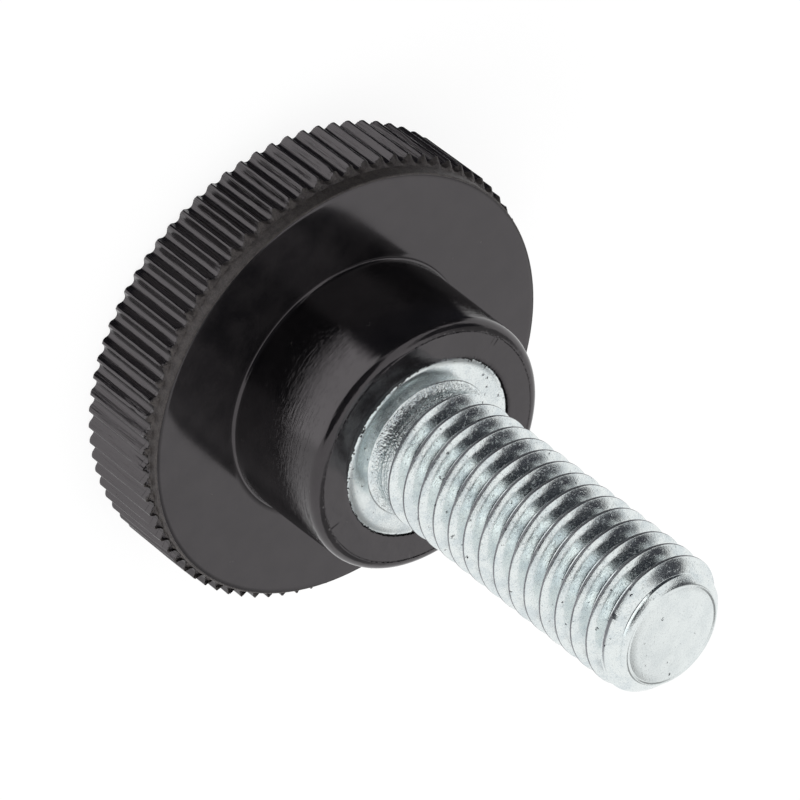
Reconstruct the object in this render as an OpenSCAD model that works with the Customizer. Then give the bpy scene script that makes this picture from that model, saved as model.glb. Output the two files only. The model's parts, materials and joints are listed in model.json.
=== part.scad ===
// Knurled thumb screw: a round grip with straight teeth and a plain hub, moulded
// as one piece round the anchor of a threaded steel stud.
// It stands on the outer face of its grip, and the stud points up along +Z.
// All lengths are in millimetres and all angles in degrees.

/* [Grip] */
// Diameter over the tips of the teeth
grip_d = 26.2; // [23:0.1:40]
// Height from the outer face to the face that the hub stands on
grip_h = 5.5; // [4.5:0.1:12]
// Number of straight teeth round the grip
tooth_count = 80; // [60:1:90]
// Angle between the two flanks of a groove
groove_angle = 70; // [60:1:90]
// Radius on the tip of each tooth
tip_round = 0.1; // [0.02:0.01:0.1]
// Radius in the bottom of each groove
groove_round = 0.3; // [0.08:0.01:0.3]
// Width of the plain band between the ends of the teeth and the hub's side
band_w = 0.85; // [0.4:0.05:2]
// How far the plain band lies inside the bottoms of the grooves
band_step = 0.03; // [0.02:0.01:0.3]
// Radius on the edge between the plain band and the face round the hub
face_round = 0.08; // [0.04:0.01:0.3]
// Radius on the edge of the outer face
outer_round = 0.3; // [0.1:0.05:0.4]

/* [Hub] */
// Height of the hub above the face that it stands on
hub_h = 6.9; // [6:0.1:14]
// Diameter of the hub just above the fillet at its foot
hub_d = 15.1; // [14:0.1:18]
// Slope of the hub's side, so that it leaves its mould
hub_draft = 0.8; // [0:0.1:3]
// Radius on the edge of the hub's end face
hub_round = 0.55; // [0.2:0.05:1]
// Radius of the fillet at the foot of the hub
hub_fillet = 0.2; // [0.1:0.05:1]

/* [Stud] */
// Outside diameter of the thread
thread_d = 7.85; // [7:0.05:9]
// Distance from one thread crest to the next
thread_pitch = 1.25; // [1:0.05:1.5]
// Angle between the two flanks of the thread
thread_angle = 60; // [55:1:65]
// Length of the stud beyond the hub
stud_len = 20; // [10:0.5:60]
// Height of the first thread crest above the hub
first_crest = 1.5; // [1.4:0.05:4]
// Diameter of the plain neck between the hub and the thread
neck_d = 7.1; // [6.6:0.05:7.4]
// Radius of the fillet at the foot of the neck
neck_fillet = 0.45; // [0.2:0.05:0.8]
// Diameter of the flat tip
tip_d = 5.9; // [5:0.1:6.4]
// Slope of the bevel round the tip
tip_angle = 45; // [30:1:60]

/* [Anchor] */
// Diameter of the collar, whose top lies level with the hub's end face
collar_d = 10.7; // [9.5:0.1:12]
// Height of the collar
collar_h = 3.6; // [2:0.1:4.5]
// Diameter of the waist that the moulding grips under the collar
waist_d = 7; // [6:0.1:9]
// Height of the waist
waist_h = 1.6; // [1:0.1:2.5]
// Width across the flats of the hexagon that stops the stud from turning
anchor_af = 9.2; // [9:0.1:10]
// Height of the hexagon
anchor_h = 2.6; // [1.5:0.1:3]
// Gap between the anchor and the moulding round it
moulding_gap = 0; // [0:0.01:0.05]

/* [Hidden] */
$fn = 96;

// Straight steps in each rounded edge and fillet
round_steps = 4;
// Straight steps in the rounding of one tooth tip
tip_steps = 2;
// Straight steps in the rounding of one groove bottom
groove_steps = 4;
// How far a cutting shape runs past the solid that it cuts
overrun = 1;

// The grip's teeth. One groove is drawn round the +X direction: its flanks touch
// both its own rounded bottom and the rounded tips of the teeth on either side.
grip_r = grip_d / 2;
teeth_h = grip_h - band_w;
tooth_angle = 360 / tooth_count;
tip_centre = grip_r - tip_round;
groove_sweep = 90 - groove_angle / 2;
tip_sweep = groove_sweep + tooth_angle / 2;
groove_apex = tip_centre * cos(tooth_angle / 2)
    - (tip_centre * sin(tooth_angle / 2) * cos(groove_angle / 2) - tip_round) / sin(groove_angle / 2);
groove_centre = groove_apex + groove_round / sin(groove_angle / 2);
band_r = groove_centre - groove_round - band_step;
// The outer edge's rounding meets a circle just outside the tips, which it crosses cleanly
outer_clear = 0.02;

// The hub
hub_top = grip_h + hub_h;
hub_foot_r = hub_d / 2;
hub_end_r = hub_foot_r - (hub_h - hub_fillet - hub_round) * tan(hub_draft);

// The stud's thread: rings of the true thread's flanks, crests and roots
crest_r = thread_d / 2;
crest_w = thread_pitch / 8;
sharp_depth = thread_pitch / 2 / tan(thread_angle / 2);
// A rolled thread is 17/24 as deep as its sharp triangle
root_r = crest_r - sharp_depth * 17 / 24;
flank_h = (crest_r - root_r) * tan(thread_angle / 2);
ring_count = floor((stud_len - first_crest) / thread_pitch) + 2;
neck_r = neck_d / 2;
neck_top = first_crest - crest_w / 2 - (crest_r - neck_r) * tan(thread_angle / 2);

function turned(p, a) = [p[0] * cos(a) - p[1] * sin(a), p[0] * sin(a) + p[1] * cos(a)];

// Points along an arc about c, from angle a to angle b
function arc(c, r, a, b, steps) =
    [for (i = [0 : steps]) let (t = a + (b - a) * i / steps) c + r * [cos(t), sin(t)]];

function groove_points() =
    arc([groove_centre, 0], groove_round, 180 + groove_sweep, 180 - groove_sweep, groove_steps);

function tip_points() =
    arc([tip_centre, 0], tip_round, -tip_sweep, tip_sweep, tip_steps);

function ring_points(i) =
    let (z = first_crest + i * thread_pitch)
    [
        [root_r, z - crest_w / 2 - flank_h],
        [crest_r, z - crest_w / 2],
        [crest_r, z + crest_w / 2],
        [root_r, z + crest_w / 2 + flank_h]
    ];

// Outline of the toothed grip, groove by groove
module tooth_outline() {
    polygon([
        for (i = [0 : tooth_count - 1])
            each concat(
                [for (p = groove_points()) turned(p, (i + 0.5) * tooth_angle)],
                [for (p = tip_points()) turned(p, (i + 1) * tooth_angle)]
            )
    ]);
}

// Everything inside the rounded edge of the outer face
module outer_edge() {
    r = grip_r + outer_clear - outer_round;
    rotate_extrude()
        polygon(concat(
            [[0, 0]],
            arc([r, outer_round], outer_round, -90, 0, round_steps),
            [[grip_r + overrun, outer_round + overrun], [grip_r + overrun, grip_h], [0, grip_h]]
        ));
}

// The plain band, the face round the hub and the hub, turned in one outline
module hub_and_band() {
    rotate_extrude()
        polygon(concat(
            [[0, teeth_h / 2], [band_r, teeth_h / 2]],
            arc([band_r - face_round, grip_h - face_round], face_round, 0, 90, round_steps),
            arc([hub_foot_r + hub_fillet, grip_h + hub_fillet], hub_fillet, 270, 180, round_steps),
            arc([hub_end_r - hub_round, hub_top - hub_round], hub_round, 0, 90, round_steps),
            [[0, hub_top]]
        ));
}

// The part of the stud under its collar, each way larger by grow
module anchor(grow) {
    waist_z = hub_top - collar_h - waist_h;
    translate([0, 0, waist_z - anchor_h - grow])
        cylinder(d = (anchor_af + 2 * grow) / cos(30), h = anchor_h + 2 * grow, $fn = 6);
    translate([0, 0, waist_z - anchor_h / 2])
        cylinder(d = waist_d + 2 * grow, h = waist_h + anchor_h / 2 + collar_h / 2);
}

module anchor_seat() {
    anchor(moulding_gap);
    translate([0, 0, hub_top - collar_h - moulding_gap])
        cylinder(d = collar_d + 2 * moulding_gap, h = collar_h + moulding_gap + overrun);
}

// The collar, neck and thread, turned in one outline that starts at the hub's end face
module stud_outline() {
    intersection() {
        polygon(concat(
            [[0, -collar_h], [collar_d / 2, -collar_h], [collar_d / 2, 0]],
            arc([neck_r + neck_fillet, neck_fillet], neck_fillet, 270, 180, round_steps),
            [[neck_r, neck_top]],
            [for (p = ring_points(0)) if (p[1] > neck_top) p],
            [for (i = [1 : ring_count - 1]) each ring_points(i)],
            [[root_r, stud_len + thread_pitch * 2], [0, stud_len + thread_pitch * 2]]
        ));
        tip_bevel();
    }
}

// Everything inside the bevel and the end face of the stud
module tip_bevel() {
    r = collar_d / 2 + overrun;
    polygon([
        [0, -collar_h - overrun],
        [r, -collar_h - overrun],
        [r, stud_len - (r - tip_d / 2) * tan(tip_angle)],
        [tip_d / 2, stud_len],
        [0, stud_len]
    ]);
}

module knob_body() {
    color("#1a191b")
        difference() {
            union() {
                intersection() {
                    linear_extrude(teeth_h) tooth_outline();
                    outer_edge();
                }
                hub_and_band();
            }
            anchor_seat();
        }
}

module threaded_stud() {
    color("#cdd6d8") {
        translate([0, 0, hub_top])
            rotate_extrude() stud_outline();
        anchor(0);
    }
}

knob_body();
threaded_stud();
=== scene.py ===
import json
import math

import bmesh
import bpy
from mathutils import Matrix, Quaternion, Vector


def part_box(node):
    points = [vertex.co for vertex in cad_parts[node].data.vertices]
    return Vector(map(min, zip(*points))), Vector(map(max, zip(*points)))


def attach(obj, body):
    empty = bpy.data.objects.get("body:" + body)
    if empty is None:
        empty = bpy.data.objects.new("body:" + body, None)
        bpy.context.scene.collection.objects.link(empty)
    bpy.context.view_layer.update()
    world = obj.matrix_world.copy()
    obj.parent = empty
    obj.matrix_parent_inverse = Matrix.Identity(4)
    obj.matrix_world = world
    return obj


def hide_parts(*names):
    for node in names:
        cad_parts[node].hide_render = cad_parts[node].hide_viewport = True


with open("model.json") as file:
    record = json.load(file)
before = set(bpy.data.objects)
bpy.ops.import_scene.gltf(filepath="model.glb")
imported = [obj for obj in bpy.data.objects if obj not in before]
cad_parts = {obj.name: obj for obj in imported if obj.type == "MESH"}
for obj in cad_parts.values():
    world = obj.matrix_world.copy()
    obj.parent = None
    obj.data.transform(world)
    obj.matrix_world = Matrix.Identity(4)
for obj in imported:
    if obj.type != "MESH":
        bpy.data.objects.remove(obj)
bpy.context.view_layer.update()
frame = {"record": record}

MM = 0.001
MERGE = 0.001 * MM
FULL_TURN = 2 * math.pi
ORIGIN = (0, 0, 0)
UP = (0, 0, 1)

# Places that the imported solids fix
knob_low, knob_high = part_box("knob_body")
stud_low, stud_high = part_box("threaded_stud")
mounts = {mount["name"]: mount for mount in frame["record"]["mounts"]}
GRIP_R = knob_high.x
HUB_TOP = knob_high.z
COLLAR_R = stud_high.x
ANCHOR_LOW = stud_low.z
TIP_Z = stud_high.z
CREST_R = mounts["stud_thread"]["dims"]["r_mm"] * MM

# Grip
GRIP_H = 5.5 * MM
TOOTH_COUNT = 80
GROOVE_ANGLE = math.radians(70)
TIP_ROUND = 0.1 * MM
GROOVE_ROUND = 0.3 * MM
BAND_W = 0.85 * MM
BAND_STEP = 0.03 * MM
FACE_ROUND = 0.08 * MM
OUTER_ROUND = 0.3 * MM
OUTER_CLEAR = 0.02 * MM
# The heights at which the flanks are divided, so that wear can bend them
TOOTH_LEVELS = (0.6 * MM, 1.2 * MM, 1.9 * MM, 2.6 * MM, 3.2 * MM, 3.7 * MM, 4.05 * MM)
# The ends of the teeth slope from this far under their nominal height to this far over it,
# where they keep a share of their depth, on top of a thin fill
END_DROP = 0.12 * MM
END_RISE = 0.1 * MM
END_SHARE = 0.4
END_FILL = 0.05 * MM
# The ends were trimmed askew, so that the band is wider on the -X side: how far the lower
# and the upper edge of the cut lean
TRIM_TILT = math.radians(1.5)
BAND_TILT = math.radians(1.1)

# Hub
HUB_R = 7.55 * MM
HUB_DRAFT = math.radians(0.8)
HUB_ROUND = 0.55 * MM
HUB_FILLET = 0.2 * MM
# The hub's side is slightly barrelled: its draft grows with this power of the height
HUB_BARREL = 1.8
# The fine step between the hub's rounding and its end face
END_EDGE_R = 6.84 * MM
END_EDGE_W = 0.03 * MM
END_EDGE_H = 0.035 * MM

# Stud
PITCH = 1.25 * MM
FLANK_SLOPE = math.tan(math.radians(30))
CREST_ROUND = 0.03 * MM
ROOT_ROUND = 0.07 * MM
SEAM_DEPTH = 0.03 * MM
SEAM_HALF = 0.022 * MM
# Height above the collar of the lowest crest that crosses +X
CREST_OVER_X = 0.574 * MM
NECK_R = 3.55 * MM
NECK_FILLET = 0.45 * MM
NECK_H = 1.2 * MM
TIP_R = 2.95 * MM
TIP_SLOPE = math.tan(math.radians(45))
WAIST_R = 3.5 * MM
WAIST_H = 1.6 * MM
COLLAR_H = 3.6 * MM
ANCHOR_AF = 9.2 * MM

# Camera
CAMERA_AIM = Vector((-1.083, -0.285, 9.152)) * MM
CAMERA_AZIMUTH = math.radians(-90.173)
CAMERA_ELEVATION = math.radians(39.495)
CAMERA_DISTANCE = 354 * MM
CAMERA_ROLL = math.radians(127.43)
CAMERA_LENS = 302.62
CAMERA_SENSOR = 36

tooth_angle = FULL_TURN / TOOTH_COUNT
teeth_top = GRIP_H - BAND_W
groove_sweep = math.pi / 2 - GROOVE_ANGLE / 2
tip_centre = GRIP_R - TIP_ROUND
groove_apex = tip_centre * math.cos(tooth_angle / 2) - (
    tip_centre * math.sin(tooth_angle / 2) * math.cos(GROOVE_ANGLE / 2) - TIP_ROUND
) / math.sin(GROOVE_ANGLE / 2)
groove_centre = groove_apex + GROOVE_ROUND / math.sin(GROOVE_ANGLE / 2)
band_r = groove_centre - GROOVE_ROUND - BAND_STEP
# A rolled thread is 17/24 as deep as its sharp triangle
root_r = CREST_R - PITCH / 2 / FLANK_SLOPE * 17 / 24


# ---- Modelling helpers ----


def outline_point(radius, height, turn=0.0):
    """The point of an outline that stands over the given turn about Z."""
    return Vector((radius * math.cos(turn), radius * math.sin(turn), height))


def arc(centre_r, centre_z, radius, start, end, steps):
    """(radius, height) pairs along an arc from angle start to angle end, in degrees."""
    points = []
    for i in range(steps + 1):
        angle = math.radians(start + (end - start) * i / steps)
        points.append((centre_r + radius * math.cos(angle), centre_z + radius * math.sin(angle)))
    return points


def start_piece(name, outline, turn=0.0):
    """A new piece in edit mode that holds only an outline, traced from one vertex."""
    points = [outline_point(radius, height, turn) for radius, height in outline]
    bpy.ops.object.select_all(action="DESELECT")
    bpy.ops.mesh.primitive_plane_add(size=MM, location=ORIGIN)
    piece = bpy.context.active_object
    piece.name = name
    piece.data.name = name
    bpy.ops.object.mode_set(mode="EDIT")
    bpy.ops.mesh.select_mode(type="VERT")
    bpy.ops.mesh.select_all(action="SELECT")
    bpy.ops.mesh.merge(type="CENTER")
    bpy.ops.transform.translate(value=points[0])
    for here, there in zip(points, points[1:]):
        bpy.ops.mesh.extrude_vertices_move(TRANSFORM_OT_translate={"value": there - here})
    return piece


def spin(steps, turn, copies=False):
    """Spins what is selected about Z, counter-clockwise seen from above."""
    bpy.ops.mesh.spin(steps=steps, angle=-turn, dupli=copies, center=ORIGIN, axis=UP)


def close_surface():
    """Merges what meets and turns every face outwards."""
    bpy.ops.mesh.select_all(action="SELECT")
    bpy.ops.mesh.remove_doubles(threshold=MERGE)
    bpy.ops.mesh.normals_make_consistent(inside=False)


def select_verts(piece, wanted):
    """Selects the vertices whose place passes the test."""
    bpy.ops.mesh.select_mode(type="VERT")
    bpy.ops.mesh.select_all(action="DESELECT")
    shape = bmesh.from_edit_mesh(piece.data)
    for vert in shape.verts:
        if wanted(vert.co):
            vert.select = True
    shape.select_flush(True)
    bmesh.update_edit_mesh(piece.data)


def scale_radius(factor):
    """Moves what is selected towards the axis or away from it."""
    bpy.ops.transform.resize(value=(factor, factor, 1), center_override=ORIGIN)


def finish_edit(piece, smooth_angle):
    """Leaves edit mode and smooths all edges flatter than the given angle."""
    bpy.ops.object.mode_set(mode="OBJECT")
    bpy.ops.object.select_all(action="DESELECT")
    piece.select_set(True)
    bpy.context.view_layer.objects.active = piece
    bpy.ops.object.shade_smooth_by_angle(angle=smooth_angle)


def apply_boolean(piece, tool, operation):
    """Joins, cuts or trims the piece with the tool, which is used up."""
    bpy.ops.object.select_all(action="DESELECT")
    piece.select_set(True)
    bpy.context.view_layer.objects.active = piece
    modifier = piece.modifiers.new(operation.lower(), "BOOLEAN")
    modifier.operation = operation
    modifier.solver = "EXACT"
    modifier.object = tool
    bpy.ops.object.modifier_apply(modifier=modifier.name)
    bpy.data.objects.remove(tool, do_unlink=True)


def radius_of(place):
    return math.hypot(place.x, place.y)


def turn_of(place):
    return math.atan2(place.y, place.x)


# ---- Knob body ----

TIP_STEPS = 2
GROOVE_STEPS = 3
OUTER_STEPS = 5
FACE_STEPS = 3
FILLET_STEPS = 5
HUB_ROUND_STEPS = 7
KNOB_SMOOTH_ANGLE = math.radians(38)
# Rings that divide the flat faces: their radii on the outer face, on the face round the hub
# and on the hub's end, and how high they stand on the band, over the teeth
OUTER_RINGS = (6 * MM, 12 * MM)
FACE_RINGS = (12.3 * MM, 11 * MM, 9.5 * MM, 7.95 * MM)
END_RINGS = (6.2 * MM, 5.6 * MM, 5.43 * MM)
BAND_RISES = (0.2 * MM, 0.55 * MM, 0.7 * MM)
# Where the hub's side is divided, as shares of its height
HUB_SHARES = (0.02, 0.3, 0.55, 0.78, 0.98)
# Rings just under the upper edge of the stud's seat, so that its wear stays at that edge
SEAT_DROPS = (0.05 * MM, 0.3 * MM)
# Where a flank is divided: close to both ends, so that only the roundings shade softly
FLANK_SHARES = (0.08, 0.5, 0.92)


def tooth_columns():
    """(turn, radius) pairs along one tooth's outline, from groove bottom to groove bottom."""
    half = tooth_angle / 2
    tip = arc(tip_centre, 0, TIP_ROUND, 0, math.degrees(groove_sweep + half), TIP_STEPS)
    sweep = math.degrees(groove_sweep)
    groove = arc(groove_centre, 0, GROOVE_ROUND, 180 + sweep, 180, GROOVE_STEPS)
    groove = [
        (x * math.cos(half) - y * math.sin(half), x * math.sin(half) + y * math.cos(half))
        for x, y in groove
    ]
    start, end = Vector(tip[-1]), Vector(groove[0])
    flank = [start.lerp(end, share) for share in FLANK_SHARES]
    upper = [(math.atan2(y, x), math.hypot(x, y)) for x, y in [*tip, *flank, *groove]]
    lower = [(-turn, radius) for turn, radius in reversed(upper[1:])]
    return lower + upper


def grip_levels():
    """Outline of the grip's outer face and toothed side, as if the teeth filled the circle."""
    face = [(0, 0), *[(radius, 0) for radius in OUTER_RINGS]]
    edge = arc(
        GRIP_R + OUTER_CLEAR - OUTER_ROUND, OUTER_ROUND, OUTER_ROUND, -90, 0, OUTER_STEPS
    )
    side = [(GRIP_R, height) for height in TOOTH_LEVELS]
    ends = [(GRIP_R, teeth_top - END_DROP), (GRIP_R, teeth_top + END_RISE)]
    return face, edge, side + ends


def hub_levels():
    """Outline of the plain band, the face round the hub, the hub and the seat of the stud."""
    hub_end_r = HUB_R - (HUB_TOP - GRIP_H - HUB_FILLET - HUB_ROUND) * math.tan(HUB_DRAFT)
    foot_z = GRIP_H + HUB_FILLET
    shoulder_z = HUB_TOP - HUB_ROUND
    side = [
        (HUB_R + (hub_end_r - HUB_R) * share**HUB_BARREL, foot_z + (shoulder_z - foot_z) * share)
        for share in HUB_SHARES
    ]
    band = [(band_r, teeth_top + rise) for rise in BAND_RISES]
    face = [(radius, GRIP_H) for radius in FACE_RINGS]
    end_face = [
        (END_EDGE_R + END_EDGE_W, HUB_TOP - END_EDGE_H),
        (END_EDGE_R, HUB_TOP - END_EDGE_H),
        (END_EDGE_R - END_EDGE_W, HUB_TOP),
        *[(radius, HUB_TOP) for radius in END_RINGS],
    ]
    seat_top = HUB_TOP - COLLAR_H
    seat = [
        (COLLAR_R, HUB_TOP),
        *[(COLLAR_R, HUB_TOP - drop) for drop in SEAT_DROPS],
        (COLLAR_R, seat_top),
        (WAIST_R, seat_top),
        (WAIST_R, ANCHOR_LOW),
        (0, ANCHOR_LOW),
    ]
    return [
        *band,
        *arc(band_r - FACE_ROUND, GRIP_H - FACE_ROUND, FACE_ROUND, 0, 90, FACE_STEPS),
        *face,
        *arc(HUB_R + HUB_FILLET, foot_z, HUB_FILLET, 270, 180, FILLET_STEPS),
        *side,
        *arc(hub_end_r - HUB_ROUND, shoulder_z, HUB_ROUND, 0, 90, HUB_ROUND_STEPS),
        *end_face,
        *seat,
    ]


def shape_tooth(piece, columns, edge, side):
    """Draws the full outline of one sector in to the outline of one tooth."""
    tolerance = math.radians(0.01)
    for turn, radius in columns:
        for level_r, height in [*edge, *side]:
            target = min(radius, level_r)
            if height > teeth_top:
                target = band_r + END_FILL + (radius - band_r) * END_SHARE
            select_verts(
                piece,
                lambda place: abs(place.z - height) < MERGE
                and abs(turn_of(place) - turn) < tolerance
                and abs(radius_of(place) - level_r) < MERGE,
            )
            scale_radius(target / level_r)


def roughen(piece, wanted, reach, seed, flat_z=None):
    """Shifts the vertices that pass the test at random, at one height when flat_z is given."""
    select_verts(piece, wanted)
    bpy.ops.transform.vertex_random(offset=reach, uniform=0.0, normal=0.0, seed=seed)
    if flat_z is not None:
        bpy.ops.transform.resize(value=(1, 1, 0), center_override=(0, 0, flat_z))


# Chipped crests: which tooth, at what height and how deep
CHIPS = (
    (-29, 4.05 * MM, 0.16 * MM),
    (-28, teeth_top - END_DROP, 0.14 * MM),
    (-12, 3.7 * MM, 0.07 * MM),
    (-21, teeth_top - END_DROP, 0.1 * MM),
    (9, 4.05 * MM, 0.12 * MM),
    (31, 1.9 * MM, 0.1 * MM),
)


# How far the wear shifts the flanks, the ends of the teeth, the step round the end face and
# the edge of the moulding round the collar
FLANK_WEAR = 0.006 * MM
END_WEAR = 0.028 * MM
STEP_WEAR = 0.014 * MM
COLLAR_WEAR = 0.16 * MM
# How far that edge then stands in over the collar
COLLAR_LAP = 0.04 * MM
# Where each wear reaches: how far outside the band a tooth starts, the heights between which
# its flanks wear, and how far under the nominal ends the wear of the ends starts
TOOTH_START = 0.01 * MM
END_START = 0.03 * MM
FLANK_SPAN = (0.5 * MM, 4.5 * MM)
END_DEPTH = 0.2 * MM
STEP_HALF = 0.02 * MM
STEP_DEPTH = 0.04 * MM
# The rings that lean, from and to these heights over the nominal ends, and by how much
LEANING = ((-0.2 * MM, 0, TRIM_TILT), (0, 0.25 * MM, BAND_TILT))
# How high a chip is to each side of its middle, and how wide, as a share of a tooth
CHIP_HALF_H = 0.05 * MM
CHIP_HALF_W = 0.2


def weather_knob(piece):
    """Uneven teeth, a ragged step round the end face and ragged flash over the collar."""
    reach = band_r + TOOTH_START
    flank_low, flank_high = FLANK_SPAN
    roughen(
        piece,
        lambda place: radius_of(place) > reach and flank_low < place.z < flank_high,
        FLANK_WEAR,
        seed=3,
    )
    roughen(
        piece,
        lambda place: radius_of(place) > band_r + END_START
        and teeth_top - END_DEPTH < place.z < teeth_top + END_RISE + MERGE,
        END_WEAR,
        seed=5,
    )
    for tooth, height, depth in CHIPS:
        turn = tooth * tooth_angle
        select_verts(
            piece,
            lambda place: abs(place.z - height) < CHIP_HALF_H
            and abs(turn_of(place) - turn) < tooth_angle * CHIP_HALF_W
            and radius_of(place) > reach,
        )
        scale_radius(1 - depth / GRIP_R)
    for low, high, tilt in LEANING:
        select_verts(
            piece,
            lambda place: radius_of(place) > band_r - MERGE
            and low < place.z - teeth_top < high,
        )
        bpy.ops.transform.rotate(
            value=tilt, orient_axis="Y", center_override=(0, 0, teeth_top)
        )
    step_r = END_EDGE_R + END_EDGE_W / 2
    roughen(
        piece,
        lambda place: abs(radius_of(place) - step_r) < STEP_HALF
        and place.z > HUB_TOP - STEP_DEPTH,
        STEP_WEAR,
        seed=7,
    )
    roughen(
        piece,
        lambda place: abs(radius_of(place) - COLLAR_R) < MERGE and place.z > HUB_TOP - MERGE,
        COLLAR_WEAR,
        seed=11,
        flat_z=HUB_TOP,
    )
    bpy.ops.mesh.vertices_smooth(factor=0.5, repeat=2)
    scale_radius(1 - COLLAR_LAP / COLLAR_R)


def make_knob():
    """The grip with its teeth and the hub, as one closed mesh."""
    columns = tooth_columns()
    face, edge, side = grip_levels()
    outline = [*face, *edge, *side, *hub_levels()]
    piece = start_piece("knob_moulding", outline, columns[0][0])
    bpy.ops.mesh.select_all(action="SELECT")
    for (turn, _), (next_turn, _) in zip(columns, columns[1:]):
        spin(1, next_turn - turn)
    shape_tooth(piece, columns, edge, side)
    close_surface()
    bpy.ops.mesh.select_all(action="SELECT")
    spin(TOOTH_COUNT - 1, FULL_TURN - tooth_angle, copies=True)
    close_surface()
    weather_knob(piece)
    bpy.ops.object.mode_set(mode="OBJECT")
    apply_boolean(piece, make_hexagon(), "DIFFERENCE")
    bpy.ops.object.mode_set(mode="EDIT")
    finish_edit(piece, KNOB_SMOOTH_ANGLE)
    return piece


def make_hexagon():
    """The hexagon of the anchor, with its corners over the X axis."""
    height = HUB_TOP - COLLAR_H - WAIST_H - ANCHOR_LOW
    bpy.ops.object.select_all(action="DESELECT")
    bpy.ops.mesh.primitive_cylinder_add(
        vertices=6,
        radius=ANCHOR_AF / 2 / math.cos(math.radians(30)),
        depth=height,
        location=(0, 0, ANCHOR_LOW + height / 2),
        rotation=(0, 0, math.radians(30)),
    )
    bpy.ops.object.transform_apply(location=True, rotation=True, scale=True)
    return bpy.context.active_object


# ---- Threaded stud ----

ROUND_STEPS = 144
# The helix is made too long at both ends, and then trimmed
TURNS = 19
BELOW_TURNS = 2
STUD_SMOOTH_ANGLE = math.radians(34)
# How far the trimming solid stands clear of the crests
TRIM_CLEAR = 0.6 * MM
NECK_FILLET_STEPS = 6
COLLAR_RINGS = (4.6 * MM, 4.3 * MM, 4.1 * MM)
# The next three outlines are pairs of steps away from an edge, outwards and upwards, in
# millimetres. First the rounded rim of the tip and the shallow ring inside it, from TIP_R
# and TIP_Z
TIP_RIM = (
    (0.05, -0.05),
    (0, -0.015),
    (-0.06, 0),
    (-0.12, -0.01),
    (-0.17, -0.035),
    (-0.22, -0.03),
    (-0.4, -0.01),
    (-0.7, 0),
)
# The rounded edge of the collar, from COLLAR_R and HUB_TOP
COLLAR_EDGE = ((0, -0.2), (-0.05, -0.1), (-0.15, -0.045), (-0.3, -0.015), (-0.5, 0))
# The ripples that rolling left on the neck, from NECK_R and HUB_TOP
NECK_RIPPLES = ((-0.01, 0.55), (0.03, 0.64), (-0.02, 0.76), (0.03, 0.9), (-0.02, 1.02))


def stepped(radius, height, steps):
    """The (radius, height) pairs that lie the given steps away from one place."""
    return [(radius + out * MM, height + rise * MM) for out, rise in steps]


def thread_outline():
    """One pitch of the thread's outline, from the middle of one root to the next."""
    half_crest = PITCH / 16
    half_root = PITCH / 2 - half_crest - (CREST_R - root_r) * FLANK_SLOPE
    flat = half_root - ROOT_ROUND * FLANK_SLOPE
    root = [(root_r, 0), *arc(root_r + ROOT_ROUND, flat, ROOT_ROUND, 180, 120, 3)]
    corner = (CREST_R - CREST_ROUND, PITCH / 2 - half_crest - CREST_ROUND * FLANK_SLOPE)
    crest = [
        corner,
        (CREST_R - CREST_ROUND * 0.3, PITCH / 2 - half_crest + CREST_ROUND * 0.3),
        (CREST_R, PITCH / 2 - half_crest + CREST_ROUND * 1.2),
        (CREST_R - SEAM_DEPTH * 0.15, PITCH / 2 - SEAM_HALF),
    ]
    flank = [tuple(Vector(root[-1]).lerp(Vector(corner), 0.5))]
    lower = root + flank + crest
    upper = [(radius, PITCH - height) for radius, height in reversed(lower)]
    return lower + [(CREST_R - SEAM_DEPTH, PITCH / 2)] + upper


def make_thread():
    """The helix from below the neck to beyond the tip, closed at both ends."""
    start_z = HUB_TOP + CREST_OVER_X - PITCH / 2 - BELOW_TURNS * PITCH
    outline = [(radius, start_z + height) for radius, height in thread_outline()]
    piece = start_piece("thread", outline)
    bpy.ops.object.mode_set(mode="OBJECT")
    screw = piece.modifiers.new("helix", "SCREW")
    screw.axis = "Z"
    screw.angle = FULL_TURN
    screw.screw_offset = PITCH
    screw.iterations = TURNS
    screw.steps = ROUND_STEPS
    screw.render_steps = ROUND_STEPS
    bpy.ops.object.modifier_apply(modifier=screw.name)
    bpy.ops.object.mode_set(mode="EDIT")
    bpy.ops.mesh.select_all(action="SELECT")
    bpy.ops.mesh.remove_doubles(threshold=MERGE)
    middle = start_z + TURNS * PITCH / 2
    for below in (True, False):
        bpy.ops.mesh.select_mode(type="EDGE")
        bpy.ops.mesh.select_all(action="DESELECT")
        shape = bmesh.from_edit_mesh(piece.data)
        for edge in shape.edges:
            if edge.is_boundary and (edge.verts[0].co.z < middle) == below:
                edge.select_set(True)
        bmesh.update_edit_mesh(piece.data)
        bpy.ops.mesh.extrude_edges_move()
        bpy.ops.mesh.merge(type="CENTER")
    close_surface()
    bpy.ops.object.mode_set(mode="OBJECT")
    return piece


def make_turned(name, outline):
    """A closed round solid from an outline that starts and ends on the axis."""
    piece = start_piece(name, outline)
    bpy.ops.mesh.select_all(action="SELECT")
    spin(ROUND_STEPS, FULL_TURN)
    close_surface()
    bpy.ops.object.mode_set(mode="OBJECT")
    return piece


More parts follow.
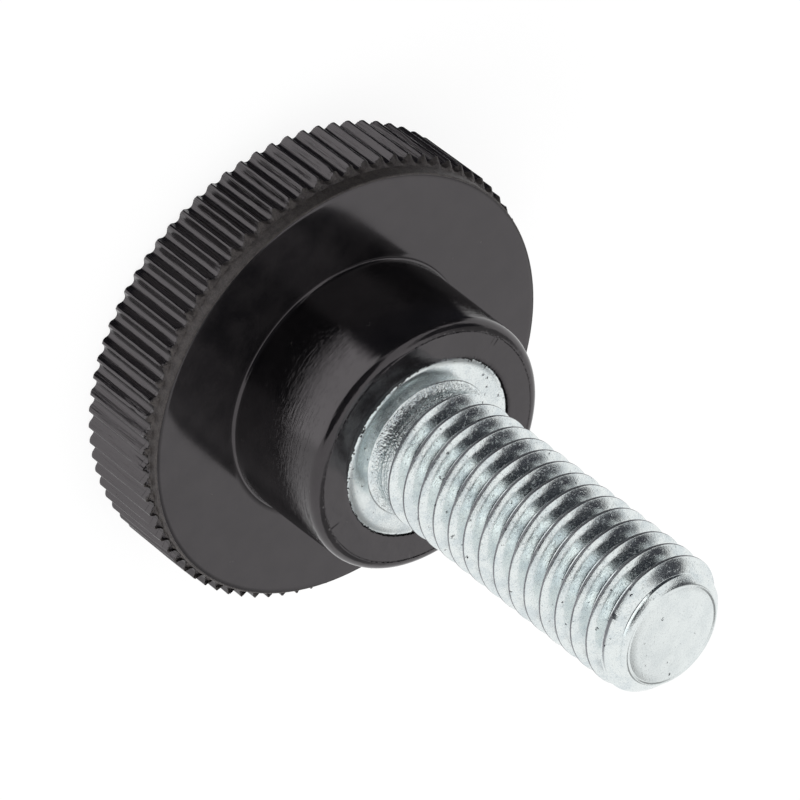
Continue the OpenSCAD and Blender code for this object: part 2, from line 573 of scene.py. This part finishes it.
def make_stud():
    """Collar, neck and anchor turned in one, with the trimmed thread joined on."""
    thread = make_thread()
    reach = CREST_R + TRIM_CLEAR
    inside = NECK_R - 0.05 * MM
    envelope = make_turned(
        "thread_envelope",
        [
            (0, HUB_TOP + 0.4 * MM),
            (inside, HUB_TOP + 0.4 * MM),
            (inside, HUB_TOP + NECK_H - 0.1 * MM),
            (reach, HUB_TOP + NECK_H + 0.5 * MM),
            (reach, TIP_Z - (reach - TIP_R) * TIP_SLOPE),
            *stepped(TIP_R, TIP_Z, TIP_RIM),
            (0, TIP_Z),
        ],
    )
    apply_boolean(thread, envelope, "INTERSECT")
    waist_z = HUB_TOP - COLLAR_H
    body = make_turned(
        "stud",
        [
            (0, waist_z - WAIST_H - MM),
            (WAIST_R, waist_z - WAIST_H - MM),
            (WAIST_R, waist_z),
            (COLLAR_R, waist_z),
            *stepped(COLLAR_R, HUB_TOP, COLLAR_EDGE),
            *[(radius, HUB_TOP) for radius in COLLAR_RINGS],
            *arc(
                NECK_R + NECK_FILLET,
                HUB_TOP + NECK_FILLET,
                NECK_FILLET,
                270,
                180,
                NECK_FILLET_STEPS,
            ),
            *stepped(NECK_R, HUB_TOP, NECK_RIPPLES),
            (NECK_R - 0.01 * MM, HUB_TOP + NECK_H),
            (0, HUB_TOP + NECK_H),
        ],
    )
    apply_boolean(body, make_hexagon(), "UNION")
    apply_boolean(body, thread, "UNION")
    bpy.ops.object.mode_set(mode="EDIT")
    finish_edit(body, STUD_SMOOTH_ANGLE)
    return body


# ---- Materials ----


def new_material(name):
    material = bpy.data.materials.new(name)
    material.use_nodes = True
    tree = material.node_tree
    tree.nodes.clear()
    return material, tree


def node(tree, kind, inputs=None, **settings):
    """Adds a node, sets its properties, and sets or links its inputs."""
    made = tree.nodes.new(kind)
    for key, value in settings.items():
        setattr(made, key, value)
    for key, value in (inputs or {}).items():
        socket = made.inputs[key]
        if isinstance(value, bpy.types.NodeSocket):
            tree.links.new(value, socket)
        else:
            socket.default_value = value
    return made


def along(tree, vector, name):
    """One component of a vector."""
    return node(tree, "ShaderNodeSeparateXYZ", {0: vector}).outputs[name]


def distance_from_axis(tree, vector):
    flat = node(tree, "ShaderNodeVectorMath", {0: vector, 1: (1, 1, 0)}, operation="MULTIPLY")
    return node(
        tree, "ShaderNodeVectorMath", {0: flat.outputs[0]}, operation="LENGTH"
    ).outputs["Value"]


def maths(tree, operation, first, second=0.0):
    return node(tree, "ShaderNodeMath", {0: first, 1: second}, operation=operation).outputs[0]


def ramp(tree, value, low, high, at_low=0.0, at_high=1.0):
    """Runs smoothly from at_low to at_high while the value runs from low to high."""
    return node(
        tree,
        "ShaderNodeMapRange",
        {
            "Value": value,
            "From Min": low,
            "From Max": high,
            "To Min": at_low,
            "To Max": at_high,
        },
        interpolation_type="SMOOTHSTEP",
    ).outputs["Result"]


def mix(tree, share, first, second):
    """Mixes two values."""
    return node(tree, "ShaderNodeMix", {"Factor": share, "A": first, "B": second}).outputs[0]


def blend(tree, share, first, second):
    """Mixes two colours."""
    mixed = node(tree, "ShaderNodeMix", data_type="RGBA")
    for socket, value in ((mixed.inputs[0], share), (mixed.inputs[6], first), (mixed.inputs[7], second)):
        if isinstance(value, bpy.types.NodeSocket):
            tree.links.new(value, socket)
        else:
            socket.default_value = value
    return mixed.outputs[2]


def start_group(name, inputs, output):
    """A node group with the named inputs and one output, which shared patterns are built in."""
    group = bpy.data.node_groups.new(name, "ShaderNodeTree")
    for label, kind in inputs:
        group.interface.new_socket(label, in_out="INPUT", socket_type=kind)
    group.interface.new_socket(output, in_out="OUTPUT", socket_type="NodeSocketFloat")
    return group, node(group, "NodeGroupInput").outputs, node(group, "NodeGroupOutput").inputs


def use_group(tree, group, inputs):
    return node(tree, "ShaderNodeGroup", inputs, node_tree=group).outputs[0]


def make_specks_group():
    """Small ragged spots, of which only a share of the places holds one."""
    group, given, result = start_group(
        "specks",
        [
            ("Vector", "NodeSocketVector"),
            ("Spacing", "NodeSocketFloat"),
            ("Share", "NodeSocketFloat"),
            ("Size", "NodeSocketFloat"),
        ],
        "Mask",
    )
    scale = maths(group, "DIVIDE", 1.0, given["Spacing"])
    cells = node(group, "ShaderNodeTexVoronoi", {"Vector": given["Vector"], "Scale": scale})
    chance = along(group, cells.outputs["Color"], "X")
    present = maths(group, "LESS_THAN", chance, given["Share"])
    wobble = node(
        group,
        "ShaderNodeTexNoise",
        {"Vector": given["Vector"], "Scale": maths(group, "MULTIPLY", scale, 6.0)},
    )
    reach = maths(group, "ADD", cells.outputs["Distance"], wobble.outputs["Fac"])
    reach = maths(group, "SUBTRACT", reach, 0.5)
    kind = along(group, cells.outputs["Color"], "Y")
    limit = maths(group, "MULTIPLY", given["Size"], maths(group, "ADD", kind, 0.35))
    spot = maths(group, "LESS_THAN", reach, limit)
    group.links.new(maths(group, "MULTIPLY", spot, present), result["Mask"])
    return group


def make_mottle_group():
    """Cloudy patches with fine grain in them, around one half."""
    group, given, result = start_group(
        "mottle",
        [
            ("Vector", "NodeSocketVector"),
            ("Patch", "NodeSocketFloat"),
            ("Grain", "NodeSocketFloat"),
            ("Grain share", "NodeSocketFloat"),
        ],
        "Value",
    )
    patches = node(
        group,
        "ShaderNodeTexNoise",
        {
            "Vector": given["Vector"],
            "Scale": maths(group, "DIVIDE", 1.0, given["Patch"]),
            "Detail": 3.0,
        },
    )
    grains = node(
        group,
        "ShaderNodeTexNoise",
        {
            "Vector": given["Vector"],
            "Scale": maths(group, "DIVIDE", 1.0, given["Grain"]),
            "Detail": 1.0,
        },
    )
    mixed = node(
        group,
        "ShaderNodeMix",
        {
            "Factor": given["Grain share"],
            "A": patches.outputs["Fac"],
            "B": grains.outputs["Fac"],
        },
    )
    group.links.new(mixed.outputs[0], result["Value"])
    return group


GLOSS_DARK = (0.0085, 0.008, 0.009, 1)
GLOSS_LIGHT = (0.0175, 0.016, 0.017, 1)
FLANK_COLOR = (0.023, 0.0205, 0.0222, 1)
MATT_DARK = (0.02, 0.0175, 0.016, 1)
MATT_LIGHT = (0.075, 0.067, 0.06, 1)
DUST_COLOR = (0.25, 0.24, 0.22, 1)
GLOSS_TINT = (1.0, 0.93, 0.97, 1)
MOULDING_IOR = 1.65
MATT_ROUGHNESS = 0.55
# Heights of the relief of each finish
SKIN_RELIEF = 0.0015 * MM
HUB_RELIEF = 0.015 * MM
FLANK_RELIEF = 0.02 * MM
TORN_RELIEF = 0.06 * MM
PIT_RELIEF = 0.02 * MM
# How much more the matt finish leans than the lower edge of the cut
MATT_LEAN = 1.4


def moulding_material(specks, mottle):
    """Glossy black moulding, matt where the flash was trimmed and streaked between the teeth."""
    material, tree = new_material("black_moulding")
    place = node(tree, "ShaderNodeTexCoord").outputs["Object"]
    height = along(tree, place, "Z")
    radius = distance_from_axis(tree, place)

    # The plain band and the ends of the teeth, trimmed raggedly
    ragged = use_group(
        tree,
        mottle,
        {"Vector": place, "Patch": 0.9 * MM, "Grain": 0.18 * MM, "Grain share": 0.45},
    )
    lifted = maths(tree, "ADD", height, maths(tree, "MULTIPLY", ragged, 0.7 * MM))
    askew = maths(tree, "MULTIPLY", along(tree, place, "X"), math.tan(TRIM_TILT) * MATT_LEAN)
    lifted = maths(tree, "SUBTRACT", lifted, askew)
    above = ramp(tree, lifted, teeth_top + 0.24 * MM, teeth_top + 0.32 * MM)
    outside = ramp(tree, radius, band_r - FACE_ROUND * 1.4, band_r - FACE_ROUND)
    trimmed = maths(tree, "MULTIPLY", above, outside)
    fibres = use_group(
        tree,
        mottle,
        {"Vector": place, "Patch": 0.3 * MM, "Grain": 0.07 * MM, "Grain share": 0.5},
    )
    matt_color = blend(tree, ramp(tree, fibres, 0.35, 0.65), MATT_DARK, MATT_LIGHT)

    # Streaks along the flanks of the teeth
    squashed = node(
        tree, "ShaderNodeVectorMath", {0: place, 1: (1, 1, 0.05)}, operation="MULTIPLY"
    ).outputs[0]
    streaks = use_group(
        tree,
        mottle,
        {"Vector": squashed, "Patch": 0.22 * MM, "Grain": 0.06 * MM, "Grain share": 0.5},
    )
    toothed = maths(
        tree,
        "MULTIPLY",
        ramp(tree, radius, band_r - 0.03 * MM, band_r),
        ramp(tree, height, teeth_top, teeth_top - 0.02 * MM),
    )

    # Dust on the smooth faces and tiny pits in them
    dust = use_group(
        tree, specks, {"Vector": place, "Spacing": 0.8 * MM, "Share": 0.05, "Size": 0.03}
    )
    pits = use_group(
        tree, specks, {"Vector": place, "Spacing": 0.8 * MM, "Share": 0.1, "Size": 0.05}
    )
    cloud = use_group(
        tree,
        mottle,
        {"Vector": place, "Patch": 1.3 * MM, "Grain": 0.25 * MM, "Grain share": 0.25},
    )
    color = blend(tree, ramp(tree, cloud, 0.32, 0.68), GLOSS_DARK, GLOSS_LIGHT)
    color = blend(tree, toothed, color, FLANK_COLOR)
    color = blend(tree, maths(tree, "MULTIPLY", dust, 0.25), color, DUST_COLOR)
    color = blend(tree, trimmed, color, matt_color)

    gloss = use_group(
        tree,
        mottle,
        {"Vector": place, "Patch": 4 * MM, "Grain": 0.12 * MM, "Grain share": 0.35},
    )
    smooth = ramp(tree, gloss, 0.3, 0.7, 0.09, 0.15)
    streaked = ramp(tree, streaks, 0.3, 0.7, 0.13, 0.34)
    rough = mix(tree, toothed, smooth, streaked)
    rough = mix(tree, trimmed, rough, MATT_ROUGHNESS)

    # Fine marks that run round the hub
    drawn = node(
        tree, "ShaderNodeVectorMath", {0: place, 1: (0.1, 0.1, 1)}, operation="MULTIPLY"
    ).outputs[0]
    marks = use_group(
        tree,
        mottle,
        {"Vector": drawn, "Patch": 0.12 * MM, "Grain": 0.05 * MM, "Grain share": 0.4},
    )
    on_hub = ramp(tree, radius, HUB_R + 0.1 * MM, HUB_R + 0.05 * MM)
    skin = maths(tree, "MULTIPLY", gloss, SKIN_RELIEF)
    turned = maths(tree, "MULTIPLY", maths(tree, "MULTIPLY", marks, on_hub), HUB_RELIEF)
    skin = maths(tree, "ADD", skin, turned)
    combed = maths(tree, "MULTIPLY", maths(tree, "MULTIPLY", streaks, toothed), FLANK_RELIEF)
    torn = maths(tree, "MULTIPLY", maths(tree, "MULTIPLY", fibres, trimmed), TORN_RELIEF)
    dented = maths(tree, "MULTIPLY", pits, -PIT_RELIEF)
    relief = maths(tree, "ADD", skin, combed)
    relief = maths(tree, "ADD", relief, torn)
    relief = maths(tree, "ADD", relief, dented)
    bump = node(tree, "ShaderNodeBump", {"Height": relief, "Distance": 1.0})
    shader = node(
        tree,
        "ShaderNodeBsdfPrincipled",
        {
            "Base Color": color,
            "Roughness": rough,
            "IOR": MOULDING_IOR,
            "Specular Tint": GLOSS_TINT,
            "Normal": bump.outputs["Normal"],
        },
    )
    node(tree, "ShaderNodeOutputMaterial", {"Surface": shader.outputs["BSDF"]})
    return material


ZINC_LIGHT = (0.80, 0.845, 0.84, 1)
ZINC_BLUE = (0.60, 0.67, 0.70, 1)
FLASH_COLOR = (0.012, 0.011, 0.012, 1)
# Grime in random flecks, and also the painted shade along the thread's crests
ZINC_GRIME_AND_SHADE = (0.16, 0.16, 0.18, 1)
PIT_COLOR = (0.03, 0.03, 0.04, 1)
NECK_TOP = HUB_TOP + NECK_H
# Heights of the relief of each finish, and of the film of moulding over the collar
GRIT_RELIEF = 0.006 * MM
NECK_GRIT_RELIEF = 0.03 * MM
NECK_DENT_RELIEF = 0.16 * MM
DRAWN_RELIEF = 0.007 * MM
FILM_RELIEF = 0.03 * MM
PLATING_PIT_RELIEF = 0.02 * MM


def steel_material(specks, mottle):
    """Zinc plating: mottled, pitted, with flecks of grime, and with painted shade in the seam along the
    thread's crest.
    """
    material, tree = new_material("zinc_plated_steel")
    place = node(tree, "ShaderNodeTexCoord").outputs["Object"]
    height = along(tree, place, "Z")
    radius = distance_from_axis(tree, place)
    turn = maths(tree, "ARCTAN2", along(tree, place, "Y"), along(tree, place, "X"))

    # How far round its helix each place lies, from one crest to the next
    climbed = maths(tree, "DIVIDE", maths(tree, "SUBTRACT", height, HUB_TOP + CREST_OVER_X), PITCH)
    helix = maths(tree, "SUBTRACT", climbed, maths(tree, "DIVIDE", turn, FULL_TURN))
    off_crest = maths(tree, "PINGPONG", helix, 0.5)
    off_crest = maths(tree, "MULTIPLY", off_crest, PITCH)
    threaded = maths(
        tree,
        "MULTIPLY",
        ramp(tree, radius, CREST_R - 0.2 * MM, CREST_R - 0.1 * MM),
        ramp(tree, height, NECK_TOP, NECK_TOP + 0.2 * MM),
    )
    # All of the stud's side, without the collar and the face of the tip
    threaded_side = maths(
        tree,
        "MULTIPLY",
        ramp(tree, height, HUB_TOP + 0.5 * MM, HUB_TOP + 1.0 * MM),
        ramp(tree, height, TIP_Z - 0.05 * MM, TIP_Z - 0.1 * MM),
    )

    blotches = use_group(
        tree,
        mottle,
        {"Vector": place, "Patch": 0.9 * MM, "Grain": 0.09 * MM, "Grain share": 0.4},
    )
    grit = use_group(
        tree,
        mottle,
        {"Vector": place, "Patch": 0.13 * MM, "Grain": 0.05 * MM, "Grain share": 0.5},
    )
    # Painted shade: a ragged dark line along each crest, where the seam of the rolled thread lies
    seam_shade_edge = maths(tree, "ADD", off_crest, maths(tree, "MULTIPLY", grit, 0.09 * MM))
    seam_shade = ramp(tree, seam_shade_edge, 0.125 * MM, 0.085 * MM)
    seam_shade = maths(tree, "MULTIPLY", seam_shade, threaded)
    pits = use_group(
        tree, specks, {"Vector": place, "Spacing": 0.4 * MM, "Share": 0.2, "Size": 0.12}
    )
    neck = maths(
        tree,
        "MULTIPLY",
        ramp(tree, height, NECK_TOP + 0.1 * MM, NECK_TOP - 0.2 * MM),
        ramp(tree, radius, NECK_R + 0.5 * MM, NECK_R + 0.22 * MM),
    )

    # Fine marks that run round the stud
    drawn = node(
        tree, "ShaderNodeVectorMath", {0: place, 1: (0.45, 0.45, 1)}, operation="MULTIPLY"
    ).outputs[0]
    marks = use_group(
        tree,
        mottle,
        {"Vector": drawn, "Patch": 0.12 * MM, "Grain": 0.045 * MM, "Grain share": 0.55},
    )
    # A thin ragged film of the moulding over the collar's edge
    torn = use_group(
        tree,
        mottle,
        {"Vector": place, "Patch": 0.5 * MM, "Grain": 0.14 * MM, "Grain share": 0.55},
    )
    spread = maths(tree, "ADD", radius, maths(tree, "MULTIPLY", torn, 0.9 * MM))
    flash = maths(
        tree,
        "MULTIPLY",
        ramp(tree, spread, COLLAR_R + 0.34 * MM, COLLAR_R + 0.38 * MM),
        ramp(tree, height, HUB_TOP + 0.05 * MM, HUB_TOP + 0.02 * MM),
    )

    blue = ramp(tree, blotches, 0.58, 0.38, 0, 0.6)
    clean_end = ramp(tree, height, TIP_Z - 0.2 * MM, TIP_Z - 0.05 * MM, 1.0, 0.35)
    color = blend(tree, maths(tree, "MULTIPLY", blue, clean_end), ZINC_LIGHT, ZINC_BLUE)
    color = blend(tree, ramp(tree, grit, 0.56, 0.72, 0, 0.4), color, ZINC_GRIME_AND_SHADE)
    # The painted shade along the crests
    color = blend(tree, maths(tree, "MULTIPLY", seam_shade, 0.85), color, ZINC_GRIME_AND_SHADE)
    color = blend(tree, pits, color, PIT_COLOR)
    color = blend(tree, flash, color, FLASH_COLOR)
    rough = ramp(tree, blotches, 0.3, 0.7, 0.24, 0.14)
    rough = maths(tree, "ADD", rough, maths(tree, "MULTIPLY", seam_shade, 0.2))
    scuffs = ramp(tree, marks, 0.54, 0.64, 0, 0.26)
    rough = maths(tree, "ADD", rough, maths(tree, "MULTIPLY", scuffs, threaded_side))
    metal = maths(tree, "SUBTRACT", 1.0, flash)

    depth = ramp(tree, neck, 0, 1, GRIT_RELIEF, NECK_GRIT_RELIEF)
    relief = maths(tree, "MULTIPLY", grit, depth)
    scratched = maths(tree, "MULTIPLY", maths(tree, "MULTIPLY", marks, threaded_side), DRAWN_RELIEF)
    relief = maths(tree, "ADD", relief, scratched)
    relief = maths(tree, "ADD", relief, maths(tree, "MULTIPLY", flash, FILM_RELIEF))
    dented = maths(tree, "MULTIPLY", maths(tree, "MULTIPLY", torn, neck), NECK_DENT_RELIEF)
    relief = maths(tree, "ADD", relief, dented)
    relief = maths(tree, "SUBTRACT", relief, maths(tree, "MULTIPLY", pits, PLATING_PIT_RELIEF))
    bump = node(tree, "ShaderNodeBump", {"Height": relief, "Distance": 1.0})
    shader = node(
        tree,
        "ShaderNodeBsdfPrincipled",
        {
            "Base Color": color,
            "Metallic": metal,
            "Roughness": rough,
            "Normal": bump.outputs["Normal"],
        },
    )
    node(tree, "ShaderNodeOutputMaterial", {"Surface": shader.outputs["BSDF"]})
    return material


# ---- Studio ----


def add_camera():
    data = bpy.data.cameras.new("camera")
    data.sensor_width = CAMERA_SENSOR
    data.lens = CAMERA_LENS
    data.clip_start = 10 * MM
    data.clip_end = 10
    camera = bpy.data.objects.new("camera", data)
    bpy.context.scene.collection.objects.link(camera)
    back = direction(math.degrees(CAMERA_AZIMUTH), math.degrees(CAMERA_ELEVATION))
    camera.location = CAMERA_AIM + back * CAMERA_DISTANCE
    camera.rotation_mode = "QUATERNION"
    camera.rotation_quaternion = (-back).to_track_quat("-Z", "Y") @ Quaternion(UP, CAMERA_ROLL)
    bpy.context.scene.camera = camera


def seen_directly(tree):
    """1 for rays that come straight from the camera, a mirror or glass, and 0 for the rest."""
    path = node(tree, "ShaderNodeLightPath")
    mirrored = node(
        tree,
        "ShaderNodeMath",
        {0: path.outputs["Is Camera Ray"], 1: path.outputs["Is Glossy Ray"]},
        operation="MAXIMUM",
    )
    return node(
        tree,
        "ShaderNodeMath",
        {0: mirrored.outputs[0], 1: path.outputs["Is Transmission Ray"]},
        operation="MAXIMUM",
    ).outputs[0]


WORLD_LEVEL = 1.0
# The dark openings of the tent are slightly blue, up to the brightness that DIM_LEVELS ends at
SHADE_TINT = (0.9, 0.92, 1.15, 1)
DIM_LEVELS = (0.03, 0.2)
WHITE = (1, 1, 1, 1)
# Soft zones of the surroundings: azimuth and elevation of the middle, the angles at which
# the zone starts and is complete, and its brightness
ZONES = (
    (-83, -30, 44, 36, 1.55),
    (-157, -8, 42, 34, 0.03),
    (-168, -42, 40, 34, 0.04),
    (-85, 25, 40, 32, 0.03),
    (156, 46, 24, 15, 0.04),
    (62, 40, 21, 12, 0.3),
    (118, 41, 16, 9, 0.3),
)


def direction(azimuth, elevation):
    turn, rise = math.radians(azimuth), math.radians(elevation)
    return Vector(
        (math.cos(rise) * math.cos(turn), math.cos(rise) * math.sin(turn), math.sin(rise))
    )


def add_world():
    """A light tent with dark openings and one brighter panel."""
    world = bpy.data.worlds.new("light_tent")
    bpy.context.scene.world = world
    world.use_nodes = True
    tree = world.node_tree
    tree.nodes.clear()
    coords = node(tree, "ShaderNodeTexCoord")
    level = WORLD_LEVEL
    for azimuth, elevation, outer, inner, brightness in ZONES:
        facing = node(
            tree,
            "ShaderNodeVectorMath",
            {0: coords.outputs["Generated"], 1: direction(azimuth, elevation)},
            operation="DOT_PRODUCT",
        ).outputs["Value"]
        share = ramp(
            tree, facing, math.cos(math.radians(outer)), math.cos(math.radians(inner))
        )
        level = mix(tree, share, level, brightness)
    path = node(tree, "ShaderNodeLightPath")
    level = mix(tree, path.outputs["Is Camera Ray"], level, 1.0)
    tint = blend(tree, ramp(tree, level, *DIM_LEVELS), SHADE_TINT, WHITE)
    background = node(
        tree,
        "ShaderNodeBackground",
        {"Color": tint, "Strength": level},
    )
    node(tree, "ShaderNodeOutputWorld", {"Surface": background.outputs["Background"]})


KEY_PLACE = Vector((0.35, -0.05, 0.45))
KEY_SIZE = 0.25
KEY_POWER = 0.5
FLOOR_SIZE = 2.0
FLOOR_COLOR = (0.18, 0.18, 0.18, 1)
FLOOR_GLOW = 0.88


def add_floor():
    """A plain pale floor that shows the shadow and can be looked through from below."""
    bpy.ops.object.select_all(action="DESELECT")
    bpy.ops.mesh.primitive_plane_add(size=FLOOR_SIZE, location=ORIGIN)
    floor = bpy.context.active_object
    floor.name = "floor"
    material, tree = new_material("floor")
    geometry = node(tree, "ShaderNodeNewGeometry")
    glow = node(
        tree,
        "ShaderNodeMath",
        {0: seen_directly(tree), 1: FLOOR_GLOW},
        operation="MULTIPLY",
    )
    shader = node(
        tree,
        "ShaderNodeBsdfPrincipled",
        {
            "Base Color": FLOOR_COLOR,
            "Roughness": 1.0,
            "Specular IOR Level": 0.0,
            "Emission Color": WHITE,
            "Emission Strength": glow.outputs[0],
        },
    )
    clear = node(tree, "ShaderNodeBsdfTransparent")
    mixed = node(
        tree,
        "ShaderNodeMixShader",
        {
            0: geometry.outputs["Backfacing"],
            1: shader.outputs["BSDF"],
            2: clear.outputs["BSDF"],
        },
    )
    node(tree, "ShaderNodeOutputMaterial", {"Surface": mixed.outputs["Shader"]})
    floor.data.materials.append(material)
    # The knob and the stud mirror the tent alone, as if they hung in it
    floor.visible_glossy = False


def add_key():
    """One large soft lamp above the +X side."""
    data = bpy.data.lights.new("key", "AREA")
    data.shape = "SQUARE"
    data.size = KEY_SIZE
    data.energy = KEY_POWER
    lamp = bpy.data.objects.new("key", data)
    bpy.context.scene.collection.objects.link(lamp)
    lamp.location = KEY_PLACE
    lamp.visible_glossy = False
    lamp.rotation_mode = "QUATERNION"
    lamp.rotation_quaternion = (CAMERA_AIM - lamp.location).to_track_quat("-Z", "Y")


# ---- Build ----

bpy.context.scene.view_settings.view_transform = "Standard"
add_camera()
add_world()
add_key()
add_floor()

specks = make_specks_group()
mottle = make_mottle_group()

knob = make_knob()
knob.data.materials.clear()
knob.data.materials.append(moulding_material(specks, mottle))
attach(knob, "root")
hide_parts("knob_body")

stud = make_stud()
stud.data.materials.clear()
stud.data.materials.append(steel_material(specks, mottle))
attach(stud, "root")
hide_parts("threaded_stud")
